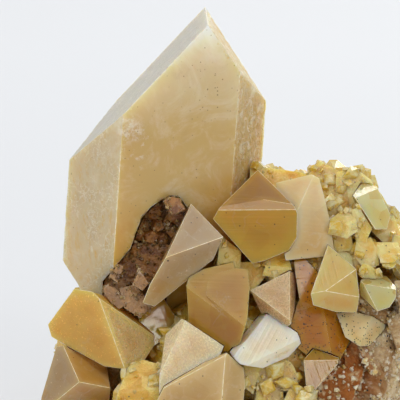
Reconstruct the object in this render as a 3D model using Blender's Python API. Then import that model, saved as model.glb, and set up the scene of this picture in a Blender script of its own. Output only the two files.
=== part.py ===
"""Barite specimen: one tall milky crystal in a group of smaller honey crystals on a granular matrix.

Each crystal is the space inside a set of flat faces. Its corners are lettered and given as the front view
shows them, in millimetres: to the right and up from the lower left corner of an 80 mm square window, and away
from the viewer (negative is nearer). The front view looks down on the specimen by a few degrees.
"""

import math
import random

import bmesh
import bpy
from mathutils import Matrix, Vector, noise

MM = 0.001
VIEW_LIFT = math.radians(12.0)  # the front view looks down by this much
WINDOW_LEFT = -45.2  # where the window's left side lies, right of the middle of the specimen
WINDOW_FOOT = 5.0  # how far the window's lower side lies above the foot
GAP = 0.3  # between crystals that touch but are separate pieces
BLOCK = 120.0  # half side of the block that faces are cut on
NARROW = 6.0  # degrees by which a crystal's sides close in towards its hidden root
MERGE = 0.02  # corners nearer than this are one corner
LEAN = (2.0, 28.4)  # the tall crystal leans this far right for this much height
LAST_RIM_LETTER = "n"  # corners lettered up to here go round the silhouette, later ones lie inside it

# Lattice of barite along its three axes, which fixes the angles between its faces
LATTICE = (8.878, 5.450, 7.152)
SMALL_FORMS = (
    ((2, 1, 0), 1.00),
    ((2, -1, 0), 1.00),
    ((1, 0, 1), 0.92),
    ((-1, 0, 1), 0.92),
    ((0, 1, 1), 1.10),
    ((0, -1, 1), 1.10),
    ((0, 0, 1), 1.02),
)


def seen(right, up, away):
    """A point of the front view as a point of the specimen, in millimetres."""
    height = up + WINDOW_FOOT - away * math.sin(VIEW_LIFT)
    return Vector((right + WINDOW_LEFT, away, height / math.cos(VIEW_LIFT)))


def plane_through(points, inside):
    """The plane through three points as (point, normal), facing away from inside."""
    first, second, third = points
    normal = (second - first).cross(third - first).normalized()
    if normal.dot(inside - first) > 0:
        normal = -normal
    return first, normal


class Crystal:
    """A convex solid kept as planes, each a point and an outward normal."""

    def __init__(self, planes):
        self.planes = planes

    def mesh(self, grow=0.0):
        """A bmesh of the solid with every face moved outwards by grow."""
        solid = bmesh.new()
        bmesh.ops.create_cube(solid, size=2 * BLOCK)
        for point, normal in self.planes:
            cut_flat(solid, point + normal * grow, normal)
        bmesh.ops.remove_doubles(solid, verts=solid.verts, dist=MERGE)
        bmesh.ops.dissolve_degenerate(solid, edges=solid.edges, dist=MERGE / 2)
        bmesh.ops.recalc_face_normals(solid, faces=solid.faces)
        return solid


class Lump:
    """A rounded uneven mass."""

    def __init__(self, centre, radii, seed, rough=0.07, ledges=0.0, fineness=2):
        self.centre = Vector(centre)
        self.radii = radii
        self.seed = seed
        self.rough = rough
        self.ledges = ledges
        self.fineness = fineness

    def mesh(self, grow=0.0):
        """A bmesh of the mass with its surface moved outwards by grow."""
        solid = bmesh.new()
        bmesh.ops.create_icosphere(solid, subdivisions=self.fineness, radius=1.0)
        for vert in solid.verts:
            direction = vert.co.copy()
            bump = noise.noise(direction * 2.6 + Vector((self.seed, 0.0, 0.0)))
            bump += 0.5 * noise.noise(direction * 6.1 + Vector((0.0, self.seed, 0.0)))
            swell = 1 + self.rough * bump + self.ledges * noise.cell(direction * 3.3 + Vector((0.0, 0.0, self.seed)))
            vert.co = self.centre + Vector(
                tuple(axis * (radius * swell + grow) for axis, radius in zip(direction, self.radii))
            )
        return solid


def cut_flat(solid, point, normal):
    """Cuts away what lies beyond a plane and closes the cut."""
    cut = bmesh.ops.bisect_plane(
        solid,
        geom=solid.verts[:] + solid.edges[:] + solid.faces[:],
        dist=1e-4,
        plane_co=point,
        plane_no=normal,
        clear_outer=True,
    )
    rim = [part for part in cut["geom_cut"] if isinstance(part, bmesh.types.BMEdge)]
    if rim:
        bmesh.ops.edgeloop_fill(solid, edges=rim)


def front_crystal(text, faces, back, narrow=NARROW):
    """A crystal of the front view, from its corners as text.

    faces names three corners for each face that shows. The sides behind the silhouette run back to the depth
    given, closing in by narrow degrees.
    """
    corners = {word[0]: tuple(float(number) for number in word[1:].split(",")) for word in text.split()}
    outline = [name for name in corners if name <= LAST_RIM_LETTER]
    middle_right = sum(corners[name][0] for name in outline) / len(outline)
    middle_up = sum(corners[name][1] for name in outline) / len(outline)
    nearest = min(corner[2] for corner in corners.values())
    inside = seen(middle_right, middle_up, (nearest + 3 * back) / 4)
    places = {name: seen(*corner) for name, corner in corners.items()}
    planes = [plane_through([places[name] for name in face], inside) for face in faces.split()]
    ray = (seen(0, 0, 1) - seen(0, 0, 0)).normalized()

    def on_surface(name):
        """Where the line of sight through a corner meets the faces that show."""
        start = seen(corners[name][0], corners[name][1], 0)
        return start + ray * max((point - start).dot(normal) / ray.dot(normal) for point, normal in planes)

    rim = [on_surface(name) for name in outline]
    sides = []
    for here, after in zip(rim, rim[1:] + rim[:1]):
        across = (after - here).cross(ray).normalized()
        if across.dot(inside - here) < 0:
            across = -across
        slope = ray + across * math.tan(math.radians(narrow))
        sides.append(plane_through((here, after, here + slope), inside))
    rear = (seen(middle_right, middle_up, back), ray)
    return Crystal(planes + sides + [rear])


def small_crystal(place, toward, size, spin, stretch=(1.0, 1.0, 1.0)):
    """A small crystal with barite's own faces, pointing one way and turned about that line."""
    axis = Vector(toward).normalized()
    turn = axis.to_track_quat("Z", "X").to_matrix() @ Matrix.Rotation(spin, 3, "Z")
    centre = Vector(place)
    planes = []
    for index, distance in SMALL_FORMS:
        normal = Vector(tuple(number / (edge * grow) for number, edge, grow in zip(index, LATTICE, stretch)))
        normal = (turn @ normal.normalized()).normalized()
        for side in (1, -1):
            planes.append((centre + normal * side * distance * size, normal * side))
    return Crystal(planes)


def tall_crystal():
    """The tall crystal: a prism with six sides and a gabled top, leaning to the right."""
    corners = {
        "a": (41.6, 74.8, -5.0),  # near end of the ridge
        "b": (41.0, 79.0, 19.0),  # far end of the ridge
        "c": (24.8, 57.0, -10.0),  # tops of the upright edges, from the front left one towards the right
        "d": (48.0, 65.7, -2.7),
        "e": (53.4, 59.8, 12.0),
        "f": (22.8, 59.7, 13.1),
        "g": (13.8, 48.0, 0.0),
    }
    places = {name: seen(*corner) for name, corner in corners.items()}
    inside = seen(35.5, 39.8, 6.0)
    slide = seen(-LEAN[0], -LEAN[1], 0) - seen(0, 0, 0)
    planes = []
    for left, right in ("cd", "de", "eb", "bf", "fg", "gc"):
        planes.append(plane_through((places[left], places[right], places[left] + slide), inside))
    for roof in ("abc", "abd"):
        planes.append(plane_through([places[name] for name in roof], inside))
    lower_left = seen(12.4, 28.0, 0.0)
    planes.append((lower_left, -planes[-1][1]))
    planes.append((Vector((0, 0, 12)), Vector((0.1, 0.1, -1)).normalized()))
    return Crystal(planes)


# The larger crystals of the front: corners as (right, up, away), faces that show, depth of the root
FRONT = {
    "tabular": (
        "a15,22.4,-15 b9.7,15.2,-11.5 c10.4,12.8,-12 d11.8,11.9,-12.5 e21,7,-19 f26.2,6.5,-20 g28.8,8,-16 "
        "h31.8,12.4,-12.4 i31.3,14,-12 j20.6,21.1,-15 p20,20.5,-17 q25,6.8,-20.5 r20.9,21,-13",
        "bpq pqh phr", 3,
    ),
    "lower left": (
        "a11.4,10.8,-13.5 b14,11,-14 c21.2,7.6,-17 d22.2,2.4,-19.5 e21.6,-3,-17 f12,-5,-17 g8.2,-2.6,-16 "
        "h8.5,0.8,-17 p13.2,10.2,-15.5 q16.1,4,-23 r12,0.6,-21.5 s21.4,2.9,-20",
        "pqr pqs qrs", 2,
    ),
    "golden": (
        "a28.7,20.2,-8 b31.4,21.5,-8 c32.5,20.8,-8 d34.8,17.2,-8 e35.2,16.2,-8 f33.2,12.4,-10 g30,10.5,-10 "
        "h27.6,14,-10 p28.2,18.4,-11.2 q32.4,20.9,-8.8 r30.4,21.6,-5 s33.2,13.4,-12.4",
        "pqr pqs", 1,
    ),
    "wedge": (
        "a38,39.2,-8 b44.6,32.7,-15 c42.6,28.2,-14 d31,18.9,-16 e28.6,19.6,-16 p33.2,28.6,-18 q37.7,38.2,-8.5 "
        "r32.6,28.8,-11.5 s37.4,24.2,-15.5",
        "abp pbs qpr", -3,
    ),
    "square": (
        "a42.6,36.2,-12 b43.9,38.5,-12 c51.5,46,-3 d58.6,38.9,-12 e59.3,37.4,-13 f59.2,32.6,-13 g57.6,30,-13 "
        "h52.7,27.9,-14 i50.4,27.4,-15 p44,38,-12.5 q59,38.1,-13.2 r44.2,38.7,-11.9 s58.6,38.9,-12.6 "
        "t52.8,38.8,-12.9",
        "pqi pqr rtc tsc", 0,
    ),
    "tall pale": (
        "a55.2,43.4,-4 b62.2,45.1,-6 c63.7,44.3,-6 d64.9,40,-8 e66,35,-9 f66.8,29,-10 g57,28,-11 "
        "p62.6,44.9,-7 q59.4,38,-10.5 r60.2,30.6,-12.5",
        "apq pqr", 4,
    ),
    "left slab": (
        "a37.3,23,-17 b37.9,25,-16 c39,25.9,-15 d46.6,27.7,-13 e47.4,24,-14 f45,10,-18 g38.2,10,-18 "
        "p37.5,22.6,-17 q41.3,19.8,-19 r40,25.8,-15.4 s38.4,10,-18.4",
        "pqr pqs", -6,
    ),
    "right slab": (
        "a41.3,22,-18 b41.6,24,-18 c42.4,25.1,-17 d47,26.5,-16 e49.4,26.2,-16 f49.8,22.6,-17 g49.4,17,-19 "
        "h47.4,10,-20 i42,10,-19 p41.5,20.9,-18.6 q46.4,17,-22 r48.5,26,-16.6 s42.2,11,-19.6",
        "pqr pqs", -6,
    ),
    "triangle": (
        "a50,22.1,-17.8 b57.8,25.9,-14.5 c59.2,25.3,-13 d58.9,19,-16 e58,15.4,-18 f54.6,13.4,-18 "
        "g52.2,17.4,-16.5 p57.8,16.2,-20 q59.1,22,-13",
        "abp bpq apg", -6,
    ),
    "pyramid": (
        "a65.4,31.1,-12 b71,26.3,-14.8 c71.6,21,-16 d71.1,17.7,-16 e67,17.8,-17 f62.4,19.2,-18 g61.9,21.4,-18 "
        "p64.8,22,-19.5 q71.4,20.8,-16.8 r67,18,-17.8",
        "abp bpq pqr", -4,
    ),
    "mirror bright": (
        "a51.9,17.4,-16 b54,17.2,-18 c59.3,13.7,-19 d60,11.6,-20 e57.6,9,-22 f52.4,6.8,-24 g48,7.6,-26 "
        "h45.9,10,-25 p53,17.1,-17.6 q59.6,12.4,-20.2 r46.8,9.4,-26.2 s49.5,7.4,-27.3 t55,7.2,-24 "
        "u51.9,17.4,-14.6",
        "pqr pru qst", -10,
    ),
    "front wedge": (
        "a36.4,16.5,-19 b44.7,11.1,-22 c43.2,7.4,-23 d39,-1,-26 e31.4,-1,-26 f32,5,-26 g32.3,9.6,-22 "
        "h33,13.2,-20 p37,15.9,-20 q44.5,11.2,-22.5 r33,3.4,-27 s31.8,5,-26.1 t32.4,11.5,-19.4",
        "pqr pst", -10,
    ),
    "front cream": (
        "a30.8,-1,-28 b33,3.3,-28 c40.6,7.8,-28 d45.2,9.9,-27 e48.6,6.8,-26 f48.9,3.6,-26 g48,-5,-28 "
        "h33,-7,-30 p33,3,-28.6 q45,9.4,-27.4 r40,-4,-33 s48.6,6.6,-26 t47.6,-4,-31 u39,9,-24",
        "pqr qst pqu", -12,
    ),
    "glassy": (
        "a72,24.2,-14 b71.5,21.5,-16 c75,18,-18 d77.6,18.7,-16 e78.9,20.6,-15 f78.9,22.8,-13 g77.2,24.8,-11 "
        "h74.2,25.2,-11 p72.4,23.4,-15.4 q75,18.4,-18 r78.4,22.3,-14.2 s75.6,25.2,-10 t71.5,21.4,-13",
        "pqr prs pqt", -2,
    ),
    "amber": (
        "a57.8,15.6,-16 b59.6,20,-15 c62.2,20.4,-15 d67.4,18,-15 e69.8,12,-18 f67.6,8,-19 g62.4,8.4,-19 "
        "h58.8,11,-18 p58,15.6,-17.4 q64.4,19,-15.4 r66,9.6,-19 s69.6,12.6,-15",
        "pqr qrs", -5,
    ),
    "amber side": (
        "a58.4,28.8,-12 b60.6,28.6,-11 c63.4,25.6,-12 d62.4,19,-15 e59.8,18,-16 f59,25,-14 p58.8,28.6,-12 "
        "q63.3,25.4,-12.4 r60.6,19.6,-15.8",
        "pqr", -5,
    ),
    "clear tan": (
        "a60.5,8.4,-21 b62.6,10.6,-20 c67.5,8.7,-19 d67.3,7.4,-20 e62.6,2.2,-23 f61,3,-23 p60.6,8.2,-21.6 "
        "q67.3,8.3,-19.6 r62.2,2.8,-23.6 s62.7,10.5,-18.6",
        "pqr pqs", -8,
    ),
    "speckled": (
        "a67.1,17.5,-14 b70.6,17.8,-13 c74.2,16.9,-12 d77.2,15,-12 e76,13.4,-14 f73.5,11,-17 g71.6,11,-17 "
        "h68.8,12.8,-17 p67.4,17.2,-14.8 q74,16.4,-13.4 r71.8,11.4,-17.8 s77,15,-10.5",
        "pqr qrs", -2,
    ),
    "pale yellow": (
        "a70.4,40.9,-5 b72.4,43.4,-2 c75.2,42.8,-1 d78,37,-4 e77.2,34.2,-7 f74,34.6,-8 p70.9,40.4,-5.8 "
        "q75.2,42.2,-2 r74.2,35.2,-8.6 s72.6,43.3,0 t70.6,40,-2",
        "pqr pqs prt", 6,
    ),
}

# The small crystals of the front that grow from the massive barite
SMALL = {
    # Behind, upper right
    "honey top": ("a50,46.4,5 b54.4,46.4,5 c60.4,45.5,5 d64.4,43.6,4 e64.4,34,0 f50,34,0", "ace", 14),
    "pale top": ("a60.6,43.4,2 b63.8,47.9,4 c64.8,47.8,4 d66.8,46.4,3 e68.4,45.6,2 f69,38,-2 g61,38,-2", "adf", 12),
    "golden column": ("a67.2,45.6,1 b69.8,46,1 c70.6,38,-3 d67,37,-3", "abd", 8),
    "frosty": ("a68.8,45.6,1 b71.6,46,1 c74.2,44,0 d75.4,42,-1 e73.2,39,-3 f70,38,-3", "ace", 9),
    "yellow": ("a64.4,39.8,-5 b66.2,41.4,-3 c68.2,39.4,-4 d68,38,-5 e65.8,35.8,-6 p64.4,39.6,-5.6 "
               "q68.2,39.2,-5 r66.4,41.4,-2", "pqe pqr", 2),
    "grey lump": ("a65.8,36,-8 b69,38.6,-7 c70.6,37.6,-7 d71.4,33.8,-9 e69.2,32.3,-10 f66.6,33,-10 "
                  "p66,36,-8.4 q70.8,35.6,-8.8 r69,38.6,-5", "pqe pqr", -1),
    "grey lump right": ("a70.2,38,-7 b72.4,39,-6 c74.4,34.6,-8 d73,31.6,-9 e71,32,-9", "ace", 0),
    "amber behind": ("a64.6,35.2,-8 b70,33.8,-8 c70.6,30,-9 d65.6,29.4,-9", "abd", 0),
    "pale shoulder": ("a73.8,44.2,1 b76.4,41,0 c78.8,36.8,-2 d80.6,32,-3 e79,29,-6 f74,34,-6", "ace", 9),
    "shoulder lower": ("a78.4,33.2,-6 b80.8,32.6,-4 c83.2,26,-6 d80.6,24,-9 e78,28,-9", "ade", 6),
    # Right
    "orange": ("a74,31.6,-8 b79.4,31.5,-8 c80.2,29,-9 d78.4,26.5,-11 e75.6,27,-11 f74.8,30,-9 "
               "p75.2,31.2,-8.4 q79.8,30.4,-8.6 r77.6,27,-12 s74.8,29,-9.4", "pqr prs", -1),
    "brown between": ("a71.2,32,-9 b74,32.6,-9 c75.4,30,-9 d75.6,27,-10 e72.4,26.4,-11 f70.6,29,-11", "ace", -2),
    "white grain": ("a72.3,27.4,-12 b71.5,26,-13 c72.2,24.2,-13 d74.6,23.8,-13 e75.7,25.4,-12 f74,26.9,-12 "
                    "p72.2,27.2,-12.4 q75.6,25.2,-12 r72.6,24.2,-13.8", "pqr", -6),
    # Middle
    "grey pair": ("a58.4,29.2,-9 b64.2,30.2,-9 c67.6,30.3,-9 d70.8,28.9,-9 e70,24,-11 f63.6,21,-13 "
                  "g60,24,-12 p58.6,29,-9.8 q70.6,28.6,-9 r63.6,21.8,-13.6", "pqr", -1),
    "grey facets": ("a53.2,27.6,-13 b54.4,30,-12 c57.4,29.8,-12 d58.2,26,-13 e56.6,24.4,-14 f52.4,25,-14 "
                    "p53.2,27,-14 q58,26.6,-13.4 r56,30,-10.6 s55.6,23.6,-14.6", "pqr pqs", -5),
    "honey wedge": ("a47.6,27.6,-12 b52.4,27.8,-12 c53.2,25,-13 d50.4,21.6,-15 e48.4,23,-14", "ace", -5),
    "under square": ("a44,33,-12 b48.2,29.8,-12 c47.4,20,-13 d42.6,20,-12 p44.2,32.6,-11.6 "
                     "q48.2,29.6,-12 r43.2,27.4,-13.4", "pqr", -2),
    "under slabs": ("a40,14,-18 b46.8,16,-18 c49.6,14,-18 d47.4,7.6,-20 e42.6,8,-20 p41,14.4,-18.6 "
                    "q49.4,13,-18.4 r45,8,-21", "pqr", -8),
    # Left of the front wedge
    "ledge": ("a25.8,6.9,-20 b28.6,8.3,-20 c32.4,7.4,-20 d32.2,-2,-24 e30,-5,-25 f23,-5,-25 g23.6,1.4,-24 "
              "p25.8,6.7,-20.6 q32,7.2,-20.6 r25,1.8,-25.2 s31.4,4.6,-24.2 t28,-4,-27", "pqr rst", -8),
    "sliver": ("a20.8,7.2,-19 b23.4,7,-20 c24.4,5.6,-20 d23.8,2,-22 e22.4,1,-22 p21,6.8,-19.6 "
               "q24.3,5.4,-20.4 r22.6,1.2,-22.8", "pqr", -8),
    "white chip": ("a20.4,1.9,-20 b22.2,1.7,-20.4 c22.6,0.4,-21 d20.6,0.2,-20.6", "abd", -8),
    "foot left": ("a18,-3,-19 b24,-1,-20 c27,-5,-20 d18,-5,-18", "abd", -6),
    # Bottom row
    "violet left": ("a48.2,7,-24 b51,8.3,-23 c51.8,7.6,-23 d51.6,5.4,-24 e50.5,1.6,-25 f49.2,2.6,-25", "ace", -10),
    "rough prism": ("a51.6,7.4,-23 b56.2,7,-22 c56.6,0,-24 d56.6,-5,-25 e50.4,-5,-26", "abe", -10),
    "grey middle": ("a56.4,9.8,-20 b58.6,7,-21 c59.4,5.2,-22 d59.2,2.8,-23 e56.6,2.2,-24 f55,6.8,-22", "ace", -10),
    "violet right": ("a56,-1,-24 b57.6,2.7,-23 c62.1,2.3,-23 d63.8,-0.6,-23 e62.4,-6,-25 f57,-6,-26 "
                     "p57.4,2.2,-24 q62,1.8,-23.4 r58,-4,-26 s63.4,-3,-24", "pqr qrs", -8),
}

# Crystals of the front that are rooted in the matrix
ROOTED = {
    "brown prism": ("a69,10.2,-15 b70.4,10.2,-15 c72.6,6.6,-16 d71.2,2.4,-18 e68.2,5.4,-18", "ace", -7),
    "stained": ("a63,2.6,-20 b67.4,7.6,-18 c69,5.8,-18 d71,2.6,-18 e69,-3,-20 f63.4,-4,-22", "ace", -8),
    "frosty band": ("a71.3,11.3,-15 b73.2,10.4,-15 c75.4,7,-15 d75.1,5.4,-16 e73.6,6,-17 p71.5,11.2,-15.6 "
                    "q75.3,6.4,-15.6 r73.2,6.6,-18", "pqr", -7),
    "corner": ("a76.4,0,-10 b77.6,4.5,-9 c78.9,5.4,-8 d79.7,3,-8 e79.2,-4,-9 f76.6,-5,-11", "ace", 0),
    "right edge upper": ("a78.6,23.8,-11 b82,24,-8 c83,19,-9 d80,16.6,-12", "abd", -2),
    "right edge lower": ("a77.2,16.4,-11 b81.6,18.6,-10 c83,13,-10 d79.6,9.6,-13", "abd", -2),
}

# The pit in the tall crystal's front, in two halves, and the chips that lie in it
PIT_UPPER = "a32.4,40,0 b34.2,40.9,0 c36,40.6,0 d38,37.6,0 e38,30,0 f31,24,0 g26,30,0 h27.4,34,0 i28.4,36.4,0 j30.2,38.6,0"
PIT_LOWER = "a20.6,23.8,0 b27,31.4,0 c34,31,0 d33,16,0 e20.4,17.6,0"
PIT_MOUTH = " p20,20,-20 q40,20,-20 r30,40,-20"
PIT_DEPTH = 0.0
CHIPS = {
    "prism": ("a22,24.8,-14 b23.4,27.4,-13 c24.9,26.8,-13 d23.6,23.6,-14 p22,24.6,-14.6 q24.8,26.6,-13.4 "
              "r23.5,23.6,-14.8", "pqr", -5),
    "little pyramid": ("a28,26.2,-12.6 b29.8,23.5,-13.6 c28.6,22,-14 d26.6,23.2,-14 p28,25.8,-12.8 "
                       "q29.7,23.5,-14 r26.8,23.3,-14.8", "pqr", -5),
    "pale chips": ("a20.6,22.2,-14 b21.6,23.2,-14 c24,22,-14 d26.2,19.8,-14 e23.4,18,-15 p20.8,22,-14.4 "
                   "q25.8,20,-14.6 r23.4,23,-13", "pqr pqe", -6),
    "tan chips": ("a24,22.4,-14 b27,23.2,-13.4 c30.6,19,-14 d28,16.6,-15 e25,18.6,-15", "ace", -6),
    "clear wedge": ("a32.8,39.8,-9 b34.2,40.8,-8.6 c35.8,40.4,-8.6 d37,38.2,-9 e34.4,37,-9.6 p32.9,39.6,-9.2 "
                    "q35.9,40,-9 r34.6,37.2,-10", "pqr", -1),
}

# Massive barite that the small crystals grow from, then the rock
FRONT_LUMP = Lump((4, -2, 16), (24, 19, 13), 1.3)
SHOULDER_LUMP = Lump((19, 6, 30), (15, 13, 16), 4.1)
LEFT_LUMP = Lump((-15, 6, 15), (15, 12, 12), 7.7)
BACK_LUMP = Lump((-4, 20, 22), (15, 7, 13), 3.7)
ROCK_FOOT = Lump((1, -3, 2), (32, 23, 9), 6.4, rough=0.10, ledges=0.05)
ROCK_LUMP = Lump((0, 8, 9), (33, 21, 15), 2.2, rough=0.13, ledges=0.07)
ROCK_RIGHT = Lump((24, -2, 15), (12.5, 14, 17), 5.9, rough=0.13, ledges=0.07, fineness=3)
ROCK_BACK = Lump((8, 15, 20), (22, 12, 18), 9.4, rough=0.13, ledges=0.09)


def scattered(count, lump, low, high, turn_from, turn_to, size, seed):
    """Small crystals standing on a lump, between two heights and two bearings, a golden turn apart."""
    chance = random.Random(seed)
    crystals = []
    for index in range(count):
        height = low + (high - low) * (index + 0.5) / count
        share = (index * 0.618034 + chance.uniform(-0.04, 0.04)) % 1
        bearing = math.radians(turn_from + (turn_to - turn_from) * share)
        lean = math.asin(max(-1, min(1, (height - lump.centre.z) / lump.radii[2])))
        ground = Vector((math.sin(bearing) * math.cos(lean), -math.cos(bearing) * math.cos(lean), math.sin(lean)))
        place = lump.centre + Vector(tuple(way * radius for way, radius in zip(ground, lump.radii)))
        toward = ground + Vector(tuple(chance.uniform(-0.5, 0.5) for _ in range(3)))
        stretch = tuple(chance.uniform(0.75, 1.35) for _ in range(3))
        reach = size * chance.uniform(0.75, 1.3)
        crystals.append(small_crystal(place, toward, reach, chance.uniform(0, math.pi), stretch))
    return crystals


def pit():
    """The two halves of the pit, open to the front."""
    return [front_crystal(half + PIT_MOUTH, "pqr", PIT_DEPTH, narrow=0) for half in (PIT_UPPER, PIT_LOWER)]


def pit_crust():
    """The floor of the pit with the chips and the many little crystals that line it."""
    chance = random.Random(8)
    shapes = [
        front_crystal(PIT_UPPER + " p20,24,-4 q40,24,-3.4 r30,40,-2.8", "pqr", PIT_DEPTH, narrow=0),
        front_crystal(PIT_LOWER + " p20,16,-9.5 q38,16,-9 r30,31,-5", "pqr", PIT_DEPTH, narrow=0),
    ]
    shapes += [front_crystal(*chip) for chip in CHIPS.values()]
    count = 28
    for index in range(count):
        share = (index + 0.5) / count
        right = 29.2 + 4.0 * math.sin(index * 2.4) + (share - 0.5) * 7
        up = 22.4 + 16.4 * share
        toward = Vector((chance.uniform(-0.7, 0.7), -1, chance.uniform(-0.4, 0.9)))
        place = seen(right, up, -4.0 - 0.3 * max(0.0, 31 - up))
        shapes.append(small_crystal(place, toward, chance.uniform(0.9, 1.6), chance.uniform(0, 3)))
    return shapes


def block_under_foot():
    """A bmesh of a block whose top is the foot plane."""
    solid = bmesh.new()
    bmesh.ops.create_cube(solid, size=2 * BLOCK)
    bmesh.ops.translate(solid, vec=(0, 0, -BLOCK), verts=solid.verts)
    return solid


def mesh_object(name, solid):
    """A mesh object made from a bmesh, which is freed."""
    mesh = bpy.data.meshes.new(name)
    for vert in solid.verts:
        vert.co *= MM
    solid.to_mesh(mesh)
    solid.free()
    made = bpy.data.objects.new(name, mesh)
    bpy.context.scene.collection.objects.link(made)
    return made


def combine(target, others, operation):
    """Joins meshes to the target, cuts them from it or keeps what they share, and removes them."""
    for other in others:
        step = target.modifiers.new("step", "BOOLEAN")
        step.operation = operation
        step.object = other
        step.solver = "EXACT"
        bpy.context.view_layer.update()
        graph = bpy.context.evaluated_depsgraph_get()
        made = bpy.data.meshes.new_from_object(target.evaluated_get(graph))
        target.modifiers.remove(step)
        old = target.data
        target.data = made
        bpy.data.meshes.remove(old)
        bpy.data.meshes.remove(other.data)


def joined(name, shapes, grow=0.0):
    """One mesh object of several shapes."""
    made = mesh_object(name, shapes[0].mesh(grow))
    combine(made, [mesh_object("part", shape.mesh(grow)) for shape in shapes[1:]], "UNION")
    return made


def keep_largest(target):
    """Removes the chips that a neighbour has cut off."""
    solid = bmesh.new()
    solid.from_mesh(target.data)
    waiting = set(solid.faces)
    bodies = []
    while waiting:
        body = set()
        front = [waiting.pop()]
        while front:
            face = front.pop()
            body.add(face)
            for edge in face.edges:
                for beside in edge.link_faces:
                    if beside in waiting:
                        waiting.remove(beside)
                        front.append(beside)
        bodies.append(body)
    bodies.sort(key=lambda body: sum(face.calc_area() for face in body), reverse=True)
    chips = [face for body in bodies[1:] for face in body]
    bmesh.ops.delete(solid, geom=chips, context="FACES")
    loose = [vert for vert in solid.verts if not vert.link_faces]
    bmesh.ops.delete(solid, geom=loose, context="VERTS")
    solid.to_mesh(target.data)
    solid.free()


def tidy(target, flat=0.5):
    """Merges faces that a cut split though they lie in one plane, and welds points that fell together."""
    solid = bmesh.new()
    solid.from_mesh(target.data)
    bmesh.ops.remove_doubles(solid, verts=solid.verts, dist=0.015 * MM)
    bmesh.ops.dissolve_limit(
        solid, angle_limit=math.radians(flat), verts=solid.verts, edges=solid.edges, delimit=set()
    )
    bmesh.ops.triangulate(solid, faces=solid.faces)
    solid.to_mesh(target.data)
    solid.free()


def finish_of(name, colour, roughness):
    """A plain material in the piece's own colour."""
    material = bpy.data.materials.new(name)
    material.use_nodes = True
    shader = material.node_tree.nodes["Principled BSDF"]
    shader.inputs["Base Color"].default_value = (*colour, 1.0)
    shader.inputs["Roughness"].default_value = roughness
    shader.inputs["Metallic"].default_value = 0.0
    material.diffuse_color = (*colour, 1.0)
    return material


def pieces():
    """Name, shapes, colour and roughness of each piece; each is cut back where an earlier one stands."""

    def front(*names):
        return [front_crystal(*FRONT[name]) for name in names]

    druse = [FRONT_LUMP, SHOULDER_LUMP, LEFT_LUMP, BACK_LUMP]
    druse += [front_crystal(*crystal) for crystal in SMALL.values()]
    druse += scattered(18, SHOULDER_LUMP, 22, 45, 65, 190, 3.6, 11)
    druse += scattered(14, LEFT_LUMP, 7, 25, 190, 296, 3.4, 12)
    druse += scattered(9, BACK_LUMP, 12, 35, 120, 245, 4.0, 13)
    matrix = [ROCK_FOOT, ROCK_LUMP, ROCK_RIGHT, ROCK_BACK]
    matrix += [front_crystal(*crystal) for crystal in ROOTED.values()]
    matrix += scattered(10, ROCK_BACK, 6, 32, 75, 240, 3.6, 14)
    matrix += scattered(8, ROCK_LUMP, 3, 12, 90, 250, 4.0, 15)
    return (
        ("large_crystal", [tall_crystal()], (0.60, 0.50, 0.33), 0.35),
        ("front_cream_crystal", front("front cream"), (0.44, 0.31, 0.15), 0.3),
        ("front_wedge_crystal", front("front wedge"), (0.55, 0.44, 0.26), 0.25),
        ("mirror_bright_crystal", front("mirror bright"), (0.62, 0.50, 0.36), 0.1),
        ("triangle_crystal", front("triangle"), (0.44, 0.29, 0.14), 0.25),
        ("wedge_crystal", front("wedge"), (0.37, 0.26, 0.13), 0.2),
        ("square_crystal", front("square"), (0.37, 0.20, 0.03), 0.12),
        ("tabular_crystal", front("tabular"), (0.46, 0.28, 0.08), 0.3),
        ("slab_pair", front("right slab", "left slab"), (0.36, 0.20, 0.05), 0.25),
        ("pyramid_crystal", front("pyramid"), (0.50, 0.34, 0.12), 0.2),
        ("glassy_crystal", front("glassy"), (0.48, 0.34, 0.12), 0.05),
        ("tall_pale_crystal", front("tall pale"), (0.52, 0.38, 0.18), 0.35),
        ("lower_left_crystal", front("lower left"), (0.34, 0.19, 0.06), 0.25),
        ("golden_crystal", front("golden"), (0.38, 0.18, 0.01), 0.1),
        ("clear_tan_crystal", front("clear tan"), (0.37, 0.20, 0.04), 0.15),
        ("amber_crystal", front("amber", "amber side"), (0.37, 0.16, 0.01), 0.2),
        ("speckled_crystal", front("speckled"), (0.55, 0.41, 0.20), 0.4),
        ("pale_yellow_crystal", front("pale yellow"), (0.60, 0.47, 0.20), 0.15),
        ("pit_crust", pit_crust(), (0.20, 0.09, 0.03), 0.4),
        ("druse", druse, (0.35, 0.19, 0.04), 0.3),
        ("matrix", matrix, (0.42, 0.32, 0.20), 0.8),
    )


def build():
    """Every piece, in order, each cut clear of those before it, then moved so that the origin is mid foot."""
    placed = []
    made = []
    for name, shapes, colour, roughness in pieces():
        target = joined(name, shapes)
        others = placed
        if name == "large_crystal":
            combine(target, [joined("pit", pit())], "DIFFERENCE")
        if name == "matrix":
            combine(target, [mesh_object("floor", block_under_foot())], "DIFFERENCE")
        if name == "pit_crust":
            combine(target, [joined("room", pit(), -GAP)], "INTERSECT")
            others = placed[1:]
        combine(target, [mesh_object("cutter", shape.mesh(GAP)) for shape in others], "DIFFERENCE")
        keep_largest(target)
        tidy(target)
        target.data.materials.append(finish_of(name, colour, roughness))
        placed += shapes
        made.append(target)
    corners = [vert.co for target in made for vert in target.data.vertices]
    low = Vector(tuple(min(corner[axis] for corner in corners) for axis in range(3)))
    high = Vector(tuple(max(corner[axis] for corner in corners) for axis in range(3)))
    foot = Vector(((low.x + high.x) / 2, (low.y + high.y) / 2, low.z))
    for target in made:
        target.data.transform(Matrix.Translation(-foot))


def main():
    """Clears the scene and builds the specimen."""
    for old in list(bpy.data.objects):
        bpy.data.objects.remove(old)
    build()


main()
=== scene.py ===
import math
import random

import bmesh
import bpy
import numpy as np
from mathutils import Matrix, Vector, noise


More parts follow.
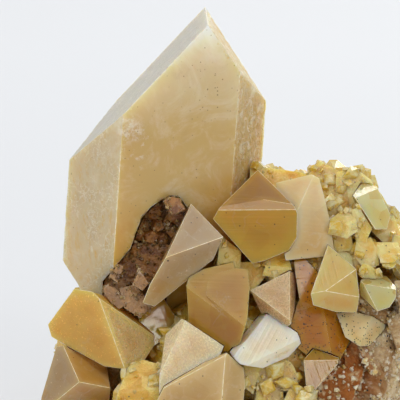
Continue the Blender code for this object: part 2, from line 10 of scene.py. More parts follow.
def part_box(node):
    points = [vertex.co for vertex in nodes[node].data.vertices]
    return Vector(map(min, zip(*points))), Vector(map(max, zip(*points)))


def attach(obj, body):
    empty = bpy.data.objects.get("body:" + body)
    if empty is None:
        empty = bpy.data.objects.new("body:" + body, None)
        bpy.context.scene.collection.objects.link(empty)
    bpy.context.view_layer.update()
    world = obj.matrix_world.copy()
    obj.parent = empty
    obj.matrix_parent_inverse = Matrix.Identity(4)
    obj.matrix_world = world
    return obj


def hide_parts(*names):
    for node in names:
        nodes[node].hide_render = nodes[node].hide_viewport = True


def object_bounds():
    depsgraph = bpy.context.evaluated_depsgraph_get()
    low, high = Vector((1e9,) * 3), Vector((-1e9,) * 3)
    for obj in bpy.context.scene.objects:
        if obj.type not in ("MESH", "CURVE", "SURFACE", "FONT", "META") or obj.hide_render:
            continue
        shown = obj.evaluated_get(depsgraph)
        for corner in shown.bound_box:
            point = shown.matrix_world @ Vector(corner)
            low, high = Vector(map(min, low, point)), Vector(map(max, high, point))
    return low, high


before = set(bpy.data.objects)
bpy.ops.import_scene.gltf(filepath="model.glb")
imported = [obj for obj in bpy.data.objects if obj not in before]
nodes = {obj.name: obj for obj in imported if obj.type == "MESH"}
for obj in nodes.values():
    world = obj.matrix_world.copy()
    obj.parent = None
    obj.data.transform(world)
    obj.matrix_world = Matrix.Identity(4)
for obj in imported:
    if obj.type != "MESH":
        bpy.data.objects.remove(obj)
cadLow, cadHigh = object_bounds()
mm = 0.001

# The front view is an 80 mm square window, measured to the right and up from its lower left corner, and away
view = {"lift": 12.0, "left": -45.2, "foot": 5.0, "side": 80.0, "distance": 1500.0, "sensor": 36.0}
shift = Vector((-0.7566, 0.6036, 0.0))  # from the middle of the window to the middle of the foot


def seen(right, up, away):
    # A point of the front view as a point of the specimen
    lift = math.radians(view["lift"])
    height = (up + view["foot"] - away * math.sin(lift)) / math.cos(lift)
    return (Vector((right + view["left"], away, height)) + shift) * mm


# Finishes

class Wire:
    # One socket of a finish; operators on it add Math nodes
    def __init__(self, finish, socket):
        self.finish = finish
        self.socket = socket

    def joined(self, operation, other, flipped=False):
        first, second = (other, self) if flipped else (self, other)
        return self.finish.add("Math", {"operation": operation}, {0: first, 1: second})

    def __add__(self, other):
        return self.joined("ADD", other)

    __radd__ = __add__

    def __sub__(self, other):
        return self.joined("SUBTRACT", other)

    def __rsub__(self, other):
        return self.joined("SUBTRACT", other, True)

    def __mul__(self, other):
        return self.joined("MULTIPLY", other)

    __rmul__ = __mul__

    def __gt__(self, other):
        return self.joined("GREATER_THAN", other)


class Finish:
    # A Principled material and the nodes that drive it
    def __init__(self, name, **plain):
        self.material = bpy.data.materials.new(name)
        self.material.use_nodes = True
        self.tree = self.material.node_tree
        self.shader = self.tree.nodes["Principled BSDF"]
        self.out = self.tree.nodes["Material Output"]
        self.place = self.add("TexCoord", output="Object")
        self.facing = self.add("TexCoord", output="Normal")
        for name, value in plain.items():
            self.put(self.shader.inputs[name.replace("_", " ")], value)

    def add(self, kind, settings=None, inputs=None, output=0):
        node = self.tree.nodes.new("ShaderNode" + kind)
        for name, value in (settings or {}).items():
            setattr(node, name, value)
        for name, value in (inputs or {}).items():
            self.put(node.inputs[name], value)
        return Wire(self, node.outputs[output])

    def put(self, socket, value):
        if isinstance(value, Wire):
            self.tree.links.new(value.socket, socket)
        elif hasattr(value, "__len__") and len(value) < len(socket.default_value):
            socket.default_value = (*value, 1.0)
        else:
            socket.default_value = value

    def mixed(self, share, first, second, how="MIX"):
        return self.add("Mix", {"data_type": "RGBA", "blend_type": how}, {0: share, 6: first, 7: second}, 2)

    def ramp(self, value, low, high):
        return self.add("MapRange", {"interpolation_type": "SMOOTHSTEP"}, {0: value, 1: low, 2: high})

    def cloud(self, scale, detail=4.0, roughness=0.55, twist=0.0, place=None):
        inputs = {"Vector": place or self.place, "Scale": scale, "Detail": detail, "Roughness": roughness,
                  "Distortion": twist}
        return self.add("TexNoise", None, inputs)

    def lines(self, across, scale, detail=2.0):
        # Bands that change along one direction only
        inputs = {"W": self.along(across), "Scale": scale, "Detail": detail}
        return self.add("TexNoise", {"noise_dimensions": "1D"}, inputs)

    def along(self, direction, vector=None):
        inputs = {0: vector or self.place, 1: Vector(direction).normalized()}
        return self.add("VectorMath", {"operation": "DOT_PRODUCT"}, inputs, "Value")

    def veins(self, scale, width, detail=3.0):
        # Thin wandering lines
        level = self.cloud(scale, detail, 0.5, 0.4) - 0.5
        off = self.add("Math", {"operation": "ABSOLUTE"}, {0: level})
        return 1 - self.ramp(off, width * 0.3, width)

    def specks(self, scale, radius, share):
        # Separate dots in some cells of a grid
        cell = {"Vector": self.place, "Scale": scale}
        distance = self.add("TexVoronoi", None, cell, "Distance")
        tint = self.add("TexVoronoi", None, cell, "Color")
        chosen = 1 - (self.add("SeparateColor", None, {0: tint}) > share)
        return (1 - self.ramp(distance, radius * 0.6, radius)) * chosen

    def near(self, centre, radius, soft=0.35):
        # 1 round a point, fading out at the radius
        inputs = {0: self.place, 1: centre}
        distance = self.add("VectorMath", {"operation": "DISTANCE"}, inputs, "Value")
        return 1 - self.ramp(distance, radius * (1 - soft), radius * (1 + soft))

    def height(self, low, high):
        return self.ramp(self.along((0, 0, 1)), low, high)

    def fromRim(self, low, high):
        # 0 at the nearest sharp edge, 1 well inside a face; millimetres
        distance = self.add("Attribute", {"attribute_name": "fromRim"}, output="Fac")
        return self.ramp(distance, low, high)

    def onFace(self, corners):
        # 1 on the face that lies in the plane through three points of the front view
        first, second, third = (seen(*corner) for corner in corners)
        normal = (second - first).cross(third - first).normalized()
        if normal.y > 0:
            normal = -normal
        return self.ramp(self.along(normal, self.facing), 0.93, 0.98)

    def bump(self, height, distance, strength=1.0):
        return self.add("Bump", None, {"Height": height, "Distance": distance, "Strength": strength})

    def paint(self, colour=None, roughness=None, normal=None):
        for name, value in (("Base Color", colour), ("Roughness", roughness), ("Normal", normal)):
            if value is not None:
                self.put(self.shader.inputs[name], value)
        return self.material

    def filled(self, colour, density):
        # Plain absorption inside a closed crystal
        volume = self.add("VolumeAbsorption", None, {"Color": colour, "Density": density}, "Volume")
        self.put(self.out.inputs["Volume"], volume)


baritePlain = {"IOR": 1.64, "Subsurface_Radius": (1.0, 0.76, 0.36), "Subsurface_Scale": 0.004}

# Look of each crystal: colour at its top and foot, which holds painted light glowing through the crystal as well as
# its own colour, pale veils, how clear, rough and shiny it is, its growth lines, the painted shade of its thick
# middle, and how strongly flawed spots inside are painted as bright reflections and dark shade
looks = {
    "front_cream_crystal": {"top": (.66, .46, .19), "low": (.56, .32, .09), "veil": .28, "clear": .15, "rough": .32,
                            "shine": .4, "across": (.3, 0, 1), "lines": .15, "specks": .03,
                            "deepShade": (.4, .19, .032), "flawLightShade": .1},
    "front_wedge_crystal": {"top": (.88, .69, .4), "low": (.7, .47, .18), "veil": .3, "clear": .2, "rough": .28,
                            "shine": .45, "across": (1, 0, .6), "lines": .1, "specks": .02,
                            "deepShade": (.5, .28, .063), "flawLightShade": .1},
    # Its near-white top and foot colours are partly a painted reflection
    "mirror_bright_crystal": {"top": (1, .88, .72), "low": (.94, .76, .5), "veil": .3, "clear": .12, "rough": .14,
                              "shine": .8, "across": (1, 0, -.7), "lines": .35, "specks": .02,
                              "deepShade": (.65, .45, .175), "flawLightShade": .1},
    "triangle_crystal": {"top": (.66, .44, .21), "low": (.58, .34, .11), "veil": .28, "clear": .2, "rough": .28,
                         "shine": .45, "across": (.2, 0, 1), "lines": .15, "specks": .02,
                         "deepShade": (.42, .2, .038), "flawLightShade": .1},
    "wedge_crystal": {"top": (.52, .36, .17), "low": (.62, .37, .07), "veil": .25, "clear": .34, "rough": .2,
                      "shine": .5, "across": (1, 0, -.8), "lines": .12, "specks": .03,
                      "deepShade": (.45, .22, .025), "flawLightShade": .16},
    "square_crystal": {"top": (.829, .448, .0336), "low": (1, .627, .056), "veil": .05, "clear": .62, "rough": .12,
                       "shine": .35, "across": (0, 0, 1), "lines": .28, "specks": .02,
                       "deepShade": (.65, .34, .017), "flawLightShade": .12},
    "tabular_crystal": {"top": (.882, .539, .0882), "low": (.784, .431, .049), "veil": .08, "clear": .28, "rough": .24,
                        "shine": .35, "across": (.9, 0, 1), "lines": .1, "specks": .01,
                        "deepShade": (.58, .26, .017), "flawLightShade": .1},
    "slab_pair": {"top": (.62, .33, .022), "low": (.56, .25, .008), "veil": .03, "clear": .42, "rough": .2,
                  "shine": .3, "across": (0, 0, 1), "lines": .14, "specks": .03,
                  "deepShade": (.43, .16, .003), "flawLightShade": .16},
    "pyramid_crystal": {"top": (1, .67, .19), "low": (.96, .57, .12), "veil": .12, "clear": .4, "rough": .16,
                        "shine": .45, "across": (1, 0, .3), "lines": .12, "specks": .03,
                        "deepShade": (.63, .34, .042), "flawLightShade": .26},
    "glassy_crystal": {"top": (1, .84, .38), "low": (1, .76, .22), "veil": .04, "clear": .46, "rough": .05,
                       "shine": .7, "across": (1, 0, .5), "lines": .2, "specks": .05,
                       "deepShade": (.71, .46, .07), "flawLightShade": .55},
    "tall_pale_crystal": {"top": (.86, .66, .34), "low": (.8, .54, .2), "veil": .34, "clear": .22, "rough": .34,
                          "shine": .4, "across": (.2, 0, 1), "lines": .1, "specks": .02,
                          "deepShade": (.58, .32, .07), "flawLightShade": .1},
    "lower_left_crystal": {"top": (.72, .48, .19), "low": (.72, .42, .08), "veil": .1, "clear": .42, "rough": .2,
                           "shine": .45, "across": (0, 0, 1), "lines": .16, "specks": .02,
                           "deepShade": (.52, .25, .028), "flawLightShade": .14},
    "golden_crystal": {"top": (.924, .462, .022), "low": (.99, .616, .066), "veil": .02, "clear": .56, "rough": .07,
                       "shine": .5, "across": (1, 0, .4), "lines": .1, "specks": .03,
                       "deepShade": (.65, .34, .021), "flawLightShade": .3},
    "clear_tan_crystal": {"top": (.66, .31, .015), "low": (.66, .32, .01), "veil": .03, "clear": .56, "rough": .1,
                          "shine": .2, "across": (1, 0, .4), "lines": .12, "specks": .05,
                          "deepShade": (.48, .20, .005), "flawLightShade": .34},
    "amber_crystal": {"top": (.70, .27, .003), "low": (.62, .22, .003), "veil": .02, "clear": .44, "rough": .2,
                      "shine": .25, "across": (0, 0, 1), "lines": .12, "specks": .55,
                      "deepShade": (.5, .16, .001), "flawLightShade": .2},
    "speckled_crystal": {"top": (.88, .66, .33), "low": (.7, .44, .11), "veil": .28, "clear": .2, "rough": .38,
                         "shine": .4, "across": (0, 0, 1), "lines": .08, "specks": .7,
                         "deepShade": (.5, .26, .038), "flawLightShade": .1},
    "pale_yellow_crystal": {"top": (1, .84, .37), "low": (1, .74, .22), "veil": .1, "clear": .34, "rough": .12,
                            "shine": .55, "across": (1, 0, .2), "lines": .12, "specks": .04,
                            "deepShade": (.68, .42, .07), "flawLightShade": .4},
}
veilColour = (.93, .87, .73)
speckColour = (.030, .018, .010)
honeyInside = (.99, .78, .20)


# Faces with a colour or an etched surface of their own
faceLooks = {
    "tabular_crystal": [{"through": ((20, 20.5, -17), (25, 6.8, -20.5), (31.8, 12.4, -12.4)),
                         "colour": (.97, .76, .36), "share": .75, "etched": 1.0}],
    "lower_left_crystal": [{"through": ((13.2, 10.2, -15.5), (16.1, 4, -23), (12, .6, -21.5)),
                            "colour": (.56, .42, .24), "share": .7, "etched": .1},
                           {"through": ((13.2, 10.2, -15.5), (16.1, 4, -23), (21.4, 2.9, -20)),
                            "colour": (.72, .38, .04), "share": .5, "etched": 0.0}],
    "square_crystal": [{"through": ((52.8, 38.8, -12.9), (58.6, 38.9, -12.6), (51.5, 46, -3)),
                        "colour": (.52, .33, .17), "share": .7, "etched": 0.0},
                       {"through": ((44, 38, -12.5), (59, 38.1, -13.2), (50.4, 27.4, -15)),
                        "colour": (.94, .62, .07), "share": .6, "etched": 0.0}],
    "mirror_bright_crystal": [{"through": ((49.5, 7.4, -27.3), (59.6, 12.4, -20.2), (55, 7.2, -24)),
                               "colour": (.86, .66, .38), "share": .7, "etched": 1.0}],
}


def crystalFinish(name, look):
    low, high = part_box(name)
    clear = look["clear"]
    finish = Finish(name + "_look", Transmission_Weight=clear, Subsurface_Weight=0.9, Specular_IOR_Level=look["shine"],
                    **baritePlain)
    rise = finish.height(low.z, high.z)
    drift = finish.cloud(170, 4, 0.6, 0.6)
    # Painted light in part: the colour runs from foot to top, the crystal's own zoning together with painted glow
    # where light shines through
    colour = finish.mixed(finish.ramp(rise + drift * 0.8, 0.45, 1.25), look["low"], look["top"])
    veil = finish.ramp(finish.cloud(330, 6, 0.68, 1.6), 0.50, 0.72) * look["veil"]
    colour = finish.mixed(veil, colour, veilColour)
    for part in faceLooks.get(name, ()):
        share = finish.onFace(part["through"]) * part["share"]
        colour = finish.mixed(share, colour, part["colour"])
    # Painted light: thin edges are painted paler than the thick middle, as if light shone through them, and flawed
    # spots inside are painted as flat bright patches of reflected light
    bright = tuple(part ** 0.75 for part in look["top"])
    inside = finish.fromRim(0.1, 1.6)
    colour = finish.mixed(inside, finish.mixed(0.5, colour, bright), colour)
    flaw = finish.add("TexVoronoi", None, {"Vector": finish.place, "Scale": 260, "Randomness": 0.9}, "Color")
    patch = finish.add("SeparateColor", None, {0: flaw})
    colour = finish.mixed(finish.ramp(patch, 0.55, 1.0) * look["flawLightShade"] * 1.5, colour, bright)
    # Painted shade: the thick middle and the dark flaw patches are painted darker honey
    thick = finish.fromRim(0.6, 4.5) * (0.08 + finish.cloud(120, 2) * 0.5)
    colour = finish.mixed((1 - finish.ramp(patch, 0.0, 0.5)) * look["flawLightShade"] * 1.4 + thick, colour, look["deepShade"])
    healed = finish.veins(190, 0.02) * finish.ramp(finish.cloud(150), 0.50, 0.62)
    colour = finish.mixed(healed * 0.12, colour, veilColour)
    specks = finish.specks(2600, 0.42, look["specks"] * 0.35) + finish.specks(1300, 0.30, look["specks"] * 0.2)
    colour = finish.mixed(specks, colour, speckColour)
    steps = finish.lines(look["across"], 1500)
    grain = finish.cloud(2600, 3)
    roughness = look["rough"] + veil * 0.25 + finish.ramp(grain, 0.45, 0.75) * 0.10 - 0.03
    relief = steps * look["lines"] + grain * 0.02 + finish.cloud(420, 3) * 0.16
    for part in faceLooks.get(name, ()):
        etching = finish.ramp(finish.cloud(900, 5, 0.7, 0.8), 0.40, 0.60) * part["etched"]
        etched = finish.onFace(part["through"]) * finish.fromRim(0.7, 1.1) * etching
        relief = relief + etched * 1.6
        roughness = roughness + etched * 0.2
    finish.paint(colour, roughness, finish.bump(relief, 0.5 * mm, 0.6))
    if clear > 0.3:
        finish.filled(honeyInside, 45)
    return finish.material


def rimFinish():
    # Frosty edges where the faces meet, painted pale: partly frost, partly a painted highlight
    finish = Finish("frosty_rim_and_highlight", Subsurface_Weight=0.5, **baritePlain)
    patchy = finish.ramp(finish.cloud(900, 4, 0.65), 0.38, 0.62)
    finish.paint(finish.mixed(patchy, (.74, .54, .24), (.95, .88, .72)), 0.28 + patchy * 0.2,
                 finish.bump(finish.cloud(3000, 3), 0.1 * mm))
    return finish.material


tall = {"top": (1.0, .95, .84), "cream": (.76, .62, .35), "middle": (.66, .45, .15), "foot": (.70, .41, .06),
        "grey": (.68, .57, .37), "etched": (.78, .52, .14), "brown": (.30, .16, .05)}


def tallFinish():
    # Milky above, honey below, partly the crystal's own colour and partly painted light that is brighter high up where
    # light shines through, with an etched left face and an etched strip on the right
    finish = Finish("large_crystal_look", Subsurface_Weight=1.0, Transmission_Weight=0.10, **baritePlain)
    finish.put(finish.shader.inputs["Subsurface Scale"], 0.007)
    level = finish.along((0, 0, 1)) + (finish.cloud(60, 4, 0.6, 0.8) - 0.5) * 14 * mm
    # Height bands from honey foot to near-white top: the pale upper bands are partly painted light
    bands = [(34, 24, 46, "middle"), (36, 52, 66, "cream"), (40, 66, 76, "top")]
    colour = tall["foot"]
    for right, low, high, shade in bands:
        share = finish.ramp(level, seen(right, low, -6).z, seen(right, high, -6).z)
        colour = finish.mixed(share, colour, tall[shade])
    left = finish.ramp(finish.along((-1, 0, 0), finish.facing), 0.45, 0.75)
    right = finish.ramp(finish.along((1, 0, 0), finish.facing), 0.30, 0.60)
    colour = finish.mixed(left * 0.8, colour, tall["grey"])
    # Painted reflection: the roof faces are painted grey where they mirror the pale surroundings
    roofReflection = finish.ramp(finish.along((-.6, 0, .8), finish.facing), 0.62, 0.82)
    colour = finish.mixed(roofReflection * 0.7, colour, (.60, .59, .52))
    wisps = finish.ramp(finish.cloud(95, 6, 0.72, 1.8), 0.46, 0.70)
    colour = finish.mixed(wisps * 0.22, colour, tall["top"])
    net = finish.veins(760, 0.03, 5.0) * finish.ramp(finish.cloud(160), 0.38, 0.60)
    colour = finish.mixed(net * left * 0.6, colour, veilColour)
    pits = finish.ramp(finish.cloud(700, 6, 0.7, 1.2), 0.42, 0.60) * finish.fromRim(0.2, 0.6)
    colour = finish.mixed(right * (0.25 + pits * 0.5), colour, tall["etched"])
    crease = finish.ramp(finish.cloud(380, 6, 0.7, 1.2), 0.50, 0.60)
    colour = finish.mixed(crease * right * 0.55, colour, (.96, .88, .66))
    chipped = finish.near(seen(26.0, 54.0, -9.5), 2.4 * mm, 0.6) * finish.ramp(finish.cloud(900, 5, 0.7), 0.42, 0.58)
    chipped = chipped + finish.near(seen(27.6, 51, -9), 4 * mm, .8) * finish.ramp(finish.cloud(800, 5, .7), .54, .70)
    colour = finish.mixed(chipped * 0.55, colour, (.98, .95, .88))
    halo = finish.near(seen(28.0, 33.5, -9.5), 4.6 * mm, 0.5) * finish.ramp(finish.cloud(420, 5), 0.40, 0.62)
    colour = finish.mixed(halo * 0.55, colour, (.62, .33, .05))
    stains = finish.ramp(finish.cloud(160, 5, 0.7), 0.56, 0.74)
    colour = finish.mixed(stains * 0.14, colour, tall["brown"])
    upper = finish.near(seen(43, 61, -5), 5 * mm, 0.6)
    specks = finish.specks(2400, 0.34, 0.02) + finish.specks(2000, 0.36, 0.14) * upper
    colour = finish.mixed(specks * 0.85, colour, tall["brown"])
    grain = finish.cloud(1900, 4, 0.6)
    etching = net * left * 0.7 + pits * right * 0.9 + chipped * 0.6
    relief = grain * 0.12 + finish.cloud(260, 3) * 0.35 + etching + crease * right * 0.8
    roughness = 0.30 + left * 0.10 + right * 0.14 + chipped * 0.2 + grain * 0.08
    finish.paint(colour, roughness, finish.bump(relief, 0.35 * mm, 0.7))
    return finish.material


def druseFinish():
    # Honey barite between the larger crystals, paler at the shoulder and amber low on the right
    finish = Finish("druse_look", Subsurface_Weight=0.9, Specular_IOR_Level=0.4, Transmission_Weight=0.12, **baritePlain)
    drift = finish.cloud(210, 5, 0.65, 0.8)
    colour = finish.mixed(finish.ramp(drift, 0.35, 0.65), (.78, .42, .02), (.86, .56, .09))
    pale = finish.near(seen(72, 40, -2), 17 * mm, 0.5) * finish.ramp(finish.cloud(240, 5), 0.36, 0.60)
    colour = finish.mixed(pale * 0.8, colour, (1, .84, .42))
    amber = finish.near(seen(63, 15, -14), 10 * mm, 0.5)
    colour = finish.mixed(amber * 0.8, colour, (.70, .27, .004))
    violet = finish.near(seen(54, 2, -24), 9 * mm, 0.5) * finish.ramp(finish.cloud(300), 0.40, 0.60)
    colour = finish.mixed(violet * 0.6, colour, (.50, .38, .26))
    veil = finish.ramp(finish.cloud(520, 6, 0.7, 1.4), 0.52, 0.70)
    colour = finish.mixed(veil * 0.2, colour, veilColour)
    # Painted light and shade: thin edges are painted paler, and flat patches are painted as bright reflections from
    # flawed spots inside and as darker shade
    colour = finish.mixed(finish.fromRim(0.1, 1.0), finish.mixed(0.35, colour, (.97, .72, .22)), colour)
    flaw = finish.add("TexVoronoi", None, {"Vector": finish.place, "Scale": 320}, "Color")
    patch = finish.add("SeparateColor", None, {0: flaw})
    colour = finish.mixed(finish.ramp(patch, 0.5, 1.0) * 0.4, colour, (.97, .74, .26))
    colour = finish.mixed((1 - finish.ramp(patch, 0.0, 0.5)) * 0.5, colour, (.62, .32, .02))
    specks = finish.specks(1800, 0.36, 0.012) + finish.specks(1700, 0.42, 0.30) * amber
    colour = finish.mixed(specks, colour, speckColour)
    grain = finish.cloud(1500, 4)
    finish.paint(colour, 0.20 + veil * 0.25 + grain * 0.1, finish.bump(grain, 0.35 * mm, 0.6))
    return finish.material


def matrixFinish():
    # Granular rock, whitish brown with iron stains
    finish = Finish("matrix_look", Subsurface_Weight=0.35, Specular_IOR_Level=0.35, **baritePlain)
    patch = finish.cloud(190, 6, 0.7, 0.7)
    colour = finish.mixed(finish.ramp(patch, 0.36, 0.62), (.36, .18, .05), (.74, .57, .33))
    white = finish.ramp(finish.cloud(620, 5, 0.7), 0.54, 0.66)
    colour = finish.mixed(white * 0.75, colour, (.94, .86, .70))
    iron = finish.near(seen(67, 5, -17), 8 * mm, 0.5) * 1.5 + finish.ramp(finish.cloud(110, 4), 0.60, 0.72) * 0.6
    colour = finish.mixed(iron * finish.ramp(finish.cloud(420, 5), 0.30, 0.55) * 0.9, colour, (.34, .10, .006))
    colour = finish.mixed(finish.specks(1500, 0.42, 0.08), colour, speckColour)
    grain = finish.add("TexVoronoi", None, {"Vector": finish.place, "Scale": 1300}, "Distance")
    relief = grain * 0.8 + finish.cloud(900, 5, 0.7)
    finish.paint(colour, 0.55 + finish.ramp(patch, 0.3, 0.7) * 0.25, finish.bump(relief, 0.5 * mm, 0.9))
    return finish.material


def crustFinish():
    # Brown drusy lining of the hollow
    finish = Finish("crust_look", Subsurface_Weight=0.3, **baritePlain)
    patch = finish.cloud(420, 5, 0.65)
    colour = finish.mixed(finish.ramp(patch, 0.38, 0.60), (.17, .050, .004), (.40, .17, .03))
    pale = finish.ramp(finish.cloud(300, 5, 0.7), 0.54, 0.66)
    low = finish.near(seen(25, 21.5, -13.5), 6 * mm, 0.4)
    colour = finish.mixed(pale * (0.35 + low * 0.65), colour, (.74, .60, .44))
    colour = finish.mixed(low * 0.4, colour, (.50, .33, .17))
    finish.paint(colour, 0.22 + patch * 0.25, finish.bump(finish.cloud(1500, 4), 0.5 * mm))
    return finish.material


def grainFinish(name, dark, light, clear, rough):
    # Loose looking grains that differ from one to the next
    finish = Finish(name, Transmission_Weight=clear, Subsurface_Weight=0.6 - 0.5 * clear, **baritePlain)
    tone = finish.cloud(520, 5, 0.75)
    finish.paint(finish.mixed(finish.ramp(tone, 0.40, 0.60), dark, light), rough + tone * 0.15,
                 finish.bump(finish.cloud(2600, 3), 0.12 * mm, 0.5))
    return finish.material


# Pieces made from the frame's solids: the same shape with bright narrow rims and finer relief

def carved(node, finish, rim=None, width=0.12, sharp=16, longest=1.0, relief=None):
    solid = bmesh.new()
    solid.from_mesh(nodes[node].data)
    bmesh.ops.remove_doubles(solid, verts=solid.verts, dist=0.002 * mm)
    flat = math.radians(0.4)
    bmesh.ops.dissolve_limit(solid, angle_limit=flat, verts=solid.verts, edges=solid.edges, delimit=set())
    for face in solid.faces:
        face.material_index = 0
    edges = [edge for edge in solid.edges if len(edge.link_faces) == 2
             and edge.calc_face_angle_signed(0) > math.radians(sharp)]
    spans = [(edge.verts[0].co.copy(), edge.verts[1].co.copy()) for edge in edges]
    if rim:
        bmesh.ops.bevel(solid, geom=edges, offset=width * mm, offset_type="WIDTH", profile_type="SUPERELLIPSE",
                        segments=2, profile=0.6, affect="EDGES", clamp_overlap=True, material=1, loop_slide=True)
    if longest:
        bmesh.ops.triangulate(solid, faces=solid.faces)
        for _ in range(8):
            long = [edge for edge in solid.edges if edge.calc_length() > longest * mm]
            if not long:
                break
            bmesh.ops.subdivide_edges(solid, edges=long, cuts=1)
            bmesh.ops.triangulate(solid, faces=solid.faces)
    if relief:
        solid.normal_update()
        moves = [(vert, vert.normal * relief(vert.co / mm, vert.normal) * mm) for vert in solid.verts]
        for vert, move in moves:
            vert.co += move
    for vert in solid.verts:
        vert.co = Vector(tuple(min(max(part, low), high) for part, low, high in zip(vert.co, cadLow, cadHigh)))
    markRims(solid, spans)
    piece = asPiece(node + "_piece", solid, [finish] + ([rim] if rim else []))
    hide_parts(node)
    return piece


def markRims(solid, spans):
    # Keeps each point's distance to the nearest sharp edge, in millimetres
    starts = np.array([start for start, end in spans])
    ways = np.array([end - start for start, end in spans])
    lengths = (ways ** 2).sum(1)
    layer = solid.verts.layers.float.new("fromRim")
    for vert in solid.verts:
        offset = np.array(vert.co) - starts
        share = np.clip((offset * ways).sum(1) / lengths, 0, 1)
        vert[layer] = float(np.sqrt(((offset - ways * share[:, None]) ** 2).sum(1).min())) / mm


def asPiece(name, solid, finishes):
    mesh = bpy.data.meshes.new(name)
    solid.to_mesh(mesh)
    solid.free()
    for finish in finishes:
        mesh.materials.append(finish)
    piece = bpy.data.objects.new(name, mesh)
    bpy.context.scene.collection.objects.link(piece)
    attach(piece, "root")
    return piece


def tallRelief(place, normal):
    # Etching on the left and right faces of the tall crystal, in millimetres
    left = max(0.0, min(1.0, (-normal.x - 0.45) / 0.3))
    right = max(0.0, min(1.0, (normal.x - 0.3) / 0.3))
    ridges = abs(noise.noise(place * 0.42)) + 0.5 * abs(noise.noise(place * 1.0 + Vector((7, 0, 0))))
    pits = noise.noise(place * 0.75) + 0.6 * noise.noise(place * 1.7)
    return 0.05 * noise.noise(place * 0.12) - left * 0.22 * ridges - right * 0.30 * max(0.0, pits + 0.1)


def rockRelief(place, normal):
    coarse = noise.noise(place * 0.35) + 0.6 * noise.noise(place * 0.9)
    return 0.45 * coarse + 0.22 * noise.cell(place * 0.8)


def druseRelief(place, normal):
    return 0.05 * noise.noise(place * 0.8)


# Many small crystals and grains

forms = {
    "tablet": [(1, 0, .3), (-1, 0, .3), (0, .7, .3), (0, -.7, .3), (1, 0, -.3), (-1, 0, -.3), (0, .7, -.3), (0, -.7, -.3),
               (.5, 0, .55), (-.5, 0, .55)],
    "chisel": [(.5, .4, -.8), (-.5, .4, -.8), (.5, -.4, -.8), (-.5, -.4, -.8), (.55, .45, .2), (-.55, .45, .2),
               (.55, -.45, .2), (-.55, -.45, .2), (.35, 0, .8), (-.35, 0, .8)],
    "grain": [(.8, .2, .1), (-.7, .3, -.2), (.1, .9, .2), (-.1, -.8, .3), (.3, -.2, .8), (-.2, .2, -.9), (.6, .6, .5),
              (-.5, -.5, .6), (.5, -.6, -.4), (-.6, .6, .4)],
}


def hullOf(points):
    solid = bmesh.new()
    for point in points:
        solid.verts.new(point)
    bmesh.ops.convex_hull(solid, input=solid.verts)
    loose = [vert for vert in solid.verts if not vert.link_faces]
    bmesh.ops.delete(solid, geom=loose, context="VERTS")
    solid.verts.index_update()
    hull = [vert.co.copy() for vert in solid.verts], [[vert.index for vert in face.verts] for face in solid.faces]
    solid.free()
    return hull


hulls = {name: hullOf(points) for name, points in forms.items()}


def sprinkled(name, source, finish, settings, keep=None):
    # Small crystals standing on the faces of a piece, spread evenly over its area
    chance = random.Random(settings["seed"])
    mesh = source.data
    mesh.calc_loop_triangles()
    corners = [vert.co for vert in mesh.vertices]
    triangles = [triangle for triangle in mesh.loop_triangles if triangle.area > 0]
    chosen = chance.choices(triangles, weights=[triangle.area for triangle in triangles], k=settings["count"])
    verts, faces = [], []
    for triangle in chosen:
        a, b, c = (corners[index] for index in triangle.vertices)
        u, v = chance.random(), chance.random()
        if u + v > 1:
            u, v = 1 - u, 1 - v
        place = a + (b - a) * u + (c - a) * v
        form = chance.choice(settings["forms"])
        size = settings["size"] * mm * math.exp(chance.gauss(0, 0.35))
        lean = Vector(tuple(chance.uniform(-1, 1) for _ in range(3))) * settings["lean"]
        spin = chance.uniform(0, 2 * math.pi)
        stretch = [chance.uniform(0.7, 1.3) for _ in range(3)]
        if keep and not keep(place / mm, triangle.normal, chance):
            continue
        turn = (triangle.normal + lean).to_track_quat("Z", "Y").to_matrix() @ Matrix.Rotation(spin, 3, "Z")
        centre = place + triangle.normal * size * settings["sink"]
        points = [centre + turn @ Vector(tuple(part * size * pull for part, pull in zip(point, stretch)))
                  for point in hulls[form][0]]
        if any(not low <= part <= high for point in points for part, low, high in zip(point, cadLow, cadHigh)):
            continue
        first = len(verts)
        verts += points
        faces += [[first + index for index in face] for face in hulls[form][1]]
    made = bpy.data.meshes.new(name)
    made.from_pydata(verts, [], faces)
    made.materials.append(finish)
    piece = bpy.data.objects.new(name, made)
    bpy.context.scene.collection.objects.link(piece)
    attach(piece, "root")
    return piece


# Studio

studio = {"backdrop": (.38, .388, .40), "glow": .92, "sky": (.92, .95, 1.0), "skyStrength": .42, "sheetHalf": 1600,
          "sheetBack": 900, "bend": 500}
lamps = {
    "top": {"place": (-.15, -.35, 1.1), "size": .9, "power": 4.1, "colour": (1, .985, .95)},
    "key": {"place": (.65, -1.0, .75), "size": .5, "power": 3.9, "colour": (1, .98, .94)},
    "left": {"place": (-.9, -.6, .45), "size": .6, "power": 2.5, "colour": (.95, .97, 1)},
    "behind": {"place": (.35, .75, .55), "size": .6, "power": 5.6, "colour": (1, .98, .95)},
}


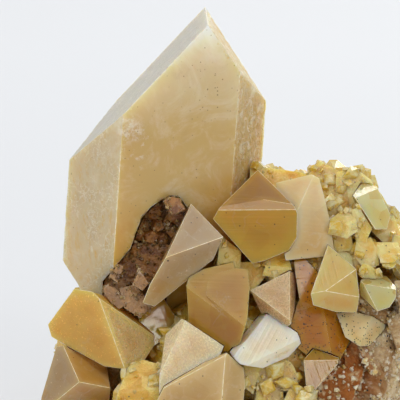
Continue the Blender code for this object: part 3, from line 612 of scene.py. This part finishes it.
def makeStudio():
    world = bpy.data.worlds.new("studio")
    world.use_nodes = True
    sky = world.node_tree.nodes["Background"]
    sky.inputs["Color"].default_value = (*studio["sky"], 1)
    sky.inputs["Strength"].default_value = studio["skyStrength"]
    bpy.context.scene.world = world
    bpy.context.scene.view_settings.view_transform = "Standard"
    middle = Vector((0, 0, 0.04))
    for name, lamp in lamps.items():
        data = bpy.data.lights.new(name, "AREA")
        data.shape = "SQUARE"
        data.size = lamp["size"]
        data.energy = lamp["power"]
        data.color = lamp["colour"]
        light = bpy.data.objects.new(name + "_lamp", data)
        light.location = lamp["place"]
        light.rotation_euler = (middle - light.location).to_track_quat("-Z", "Y").to_euler()
        bpy.context.scene.collection.objects.link(light)
    # A pale sheet that runs back from under the specimen and curves up behind it
    bend, back = studio["bend"], studio["sheetBack"]
    profile = [(-1800, 0), (back - bend, 0)]
    for step in range(1, 17):
        turn = math.radians(90 * step / 16)
        profile.append((back - bend + bend * math.sin(turn), bend - bend * math.cos(turn)))
    profile.append((back, 2200))
    sheet = bmesh.new()
    rows = [[sheet.verts.new((side * studio["sheetHalf"] * mm, away * mm, up * mm)) for away, up in profile]
            for side in (-1, 1)]
    for index in range(len(profile) - 1):
        face = sheet.faces.new((rows[0][index], rows[1][index], rows[1][index + 1], rows[0][index + 1]))
        face.smooth = True
    mesh = bpy.data.meshes.new("backdrop")
    sheet.to_mesh(mesh)
    sheet.free()
    paper = Finish("backdrop_paper", Base_Color=studio["backdrop"], Roughness=0.9)
    paper.put(paper.shader.inputs["Emission Color"], studio["backdrop"])
    paper.put(paper.shader.inputs["Emission Strength"], studio["glow"])
    mesh.materials.append(paper.material)
    backdrop = bpy.data.objects.new("backdrop", mesh)
    bpy.context.scene.collection.objects.link(backdrop)


def makeCamera():
    lift = math.radians(view["lift"])
    data = bpy.data.cameras.new("camera")
    data.sensor_width = view["sensor"]
    data.lens = view["sensor"] * view["distance"] / view["side"]
    camera = bpy.data.objects.new("camera", data)
    half = view["side"] / 2
    camera.location = seen(half, half, 0) + Vector((0, -math.cos(lift), math.sin(lift))) * view["distance"] * mm
    camera.rotation_euler = (math.radians(90 - view["lift"]), 0, 0)
    bpy.context.scene.collection.objects.link(camera)
    bpy.context.scene.camera = camera


makeStudio()
makeCamera()
print("studio and camera are in place")

rim = rimFinish()
for name, look in looks.items():
    carved(name, crystalFinish(name, look), rim, 0.08 if look["clear"] > 0.4 else 0.12)
tallPiece = carved("large_crystal", tallFinish(), rim, 0.14, 30, 0.8, tallRelief)
crust = carved("pit_crust", crustFinish(), None, longest=0.9, relief=druseRelief)
druse = carved("druse", druseFinish(), rim, 0.08, 24, 1.4, druseRelief)
matrix = carved("matrix", matrixFinish(), None, longest=1.1, relief=rockRelief)
print("the crystals are finished")

honeyGrains = grainFinish("honey_grains", (.90, .55, .05), (1, .84, .40), .30, .08)
rockGrains = grainFinish("rock_grains", (.52, .31, .09), (.96, .80, .50), .0, .38)
crustGrains = grainFinish("crust_grains", (.16, .06, .01), (.56, .34, .12), .25, .10)
blackGrains = grainFinish("black_specks", (.012, .008, .006), (.05, .03, .02), .0, .35)
sprinkled("matrix_grains", matrix, rockGrains,
          {"count": 8500, "size": .40, "seed": 3, "forms": ["grain", "chisel"], "lean": .9, "sink": .1})
sprinkled("druse_grains", druse, honeyGrains,
          {"count": 1500, "size": .50, "seed": 5, "forms": ["tablet", "chisel"], "lean": .7, "sink": .1},
          lambda place, normal, chance: noise.noise(place * 0.16) > -0.02)
sprinkled("druse_crystals", druse, honeyGrains,
          {"count": 2100, "size": 1.25, "seed": 6, "forms": ["tablet", "chisel"], "lean": .8, "sink": .0},
          lambda place, normal, chance: noise.noise(place * 0.12) > -0.3)
sprinkled("pit_sparkle", crust, crustGrains,
          {"count": 900, "size": .36, "seed": 7, "forms": ["tablet", "chisel", "grain"], "lean": .8, "sink": .15})
amberZone = seen(64, 15, -15) / mm
sprinkled("dark_specks_druse", druse, blackGrains,
          {"count": 2600, "size": .13, "seed": 9, "forms": ["grain"], "lean": .6, "sink": .3},
          lambda place, normal, chance: chance.random() < (0.8 if (place - amberZone).length < 9 else 0.04))
for name, count in (("amber_crystal", 60), ("speckled_crystal", 70), ("slab_pair", 14)):
    sprinkled("dark_specks_" + name, bpy.data.objects[name + "_piece"], blackGrains,
              {"count": count, "size": .12, "seed": len(name), "forms": ["grain"], "lean": .6, "sink": .3})
print("grains and specks are on")
